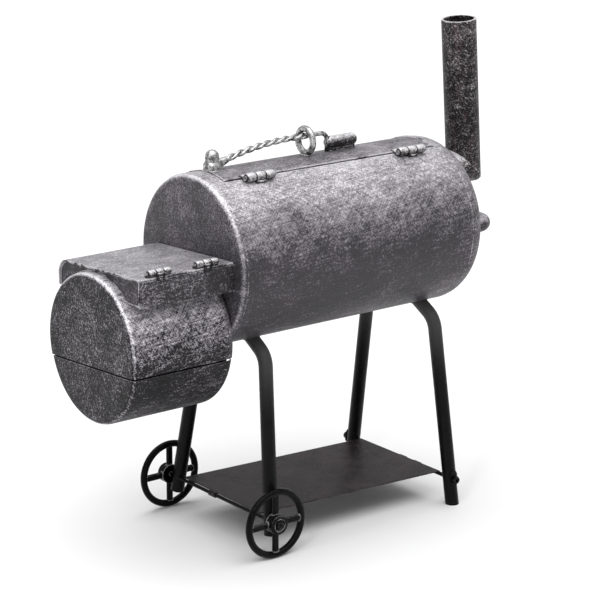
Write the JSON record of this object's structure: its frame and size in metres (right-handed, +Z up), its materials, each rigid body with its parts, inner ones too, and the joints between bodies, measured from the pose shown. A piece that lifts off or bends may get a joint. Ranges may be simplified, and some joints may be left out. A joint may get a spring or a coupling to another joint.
{
  "type": "offset smoker",
  "caption": "Offset smoker: horizontal cooking drum with hinged door, lower side firebox with lid and ash drawer, raked chimney, wheeled tube stand and shelf.",
  "frame": {"origin": "centre of the bounding box, at the floor", "axes": "+Z up; +X from the chimney to the firebox; -Y the front, where the chamber door is lifted; the door and lid hinges are on +Y"},
  "size_m": [1.3032, 0.5226, 1.3129],
  "materials": {
    "drum_steel": "dark patina rubbed back to bright steel, finely scratched",
    "end_steel": "dark patina with a fine bright grain and worn edges",
    "stack_steel": "heat-darkened steel with reddish streaks",
    "bright_steel": "bright worn steel",
    "black_paint": "satin black paint",
    "wheel_iron": "gloss black enamel on cast iron",
    "shelf_paint": "satin brown-black paint, scuffed",
    "grate_steel": "smoke-browned rod",
    "sooty_iron": "matt soot on iron"
  },
  "bodies": {
    "frame": {"barrel_shell": "drum_steel", "barrel_cap_fire": "end_steel", "barrel_cap_flue": "end_steel", "door_stops": "sooty_iron", "grate_rails": "sooty_iron", "grate_flue": "grate_steel", "grate_fire": "grate_steel", "door_hinge_fixed": "drum_steel", "door_hinge_pins": "bright_steel", "stack_duct": "stack_steel", "stack_pipe": "stack_steel", "firebox_shell": "drum_steel", "firebox_cap_outer": "end_steel", "firebox_cap_inner": "end_steel", "hood_wall": "drum_steel", "lid_hinge_fixed": "drum_steel", "lid_hinge_pins": "bright_steel", "drawer_rails": "sooty_iron", "fire_grate": "sooty_iron", "leg_fire_back": "black_paint", "leg_fire_front": "black_paint", "leg_flue_back": "black_paint", "leg_flue_front": "black_paint", "leg_feet": "black_paint", "leg_plugs": "black_paint", "axle": "black_paint", "axle_washers": "black_paint", "axle_nuts": "black_paint", "tie_bar": "black_paint", "tie_plates": "black_paint", "tie_nuts": "black_paint", "shelf": "shelf_paint", "shelf_clips": "shelf_paint", "lift_handle": "end_steel"},
    "door": {"chamber_door": "drum_steel", "door_hinge_moving": "drum_steel", "handle_post": "bright_steel", "handle_rod": "bright_steel", "handle_eye": "bright_steel", "handle_block": "end_steel"},
    "lid": {"firebox_lid": "drum_steel", "lid_hinge_moving": "drum_steel"},
    "drawer": {"ash_drawer": "drum_steel", "ash_drawer_front": "end_steel"},
    "damper": {"damper_plate": "sooty_iron", "damper_spindle": "bright_steel", "damper_lever": "black_paint"},
    "back_wheel": {"wheel_back": "wheel_iron"},
    "front_wheel": {"wheel_front": "wheel_iron"}
  },
  "joints": [
    {"name": "chamber_door_hinge", "type": "hinge", "parent": "frame", "child": "door", "pos_m": [-0.0725, 0.09223, 0.98897], "axis": [-1, 0, 0], "range_deg": [0, 110]},
    {"name": "firebox_lid_hinge", "type": "hinge", "parent": "frame", "child": "lid", "pos_m": [0.4935, 0.186, 0.8165], "axis": [-1, 0, 0], "range_deg": [0, 105]},
    {"name": "ash_drawer_slide", "type": "slide", "parent": "frame", "child": "drawer", "axis": [1, 0, 0], "range_m": [0, 0.25]},
    {"name": "wheel_back_spin", "type": "hinge", "parent": "frame", "child": "back_wheel", "pos_m": [0.2435, 0.24, 0.095], "axis": [0, 1, 0], "continuous": true},
    {"name": "wheel_front_spin", "type": "hinge", "parent": "frame", "child": "front_wheel", "pos_m": [0.2435, -0.24, 0.095], "axis": [0, 1, 0], "continuous": true},
    {"name": "damper_turn", "type": "hinge", "parent": "frame", "child": "damper", "pos_m": [-0.5849, 0, 1.12942], "axis": [0, 1, 0], "range_deg": [0, 90]}
  ]
}
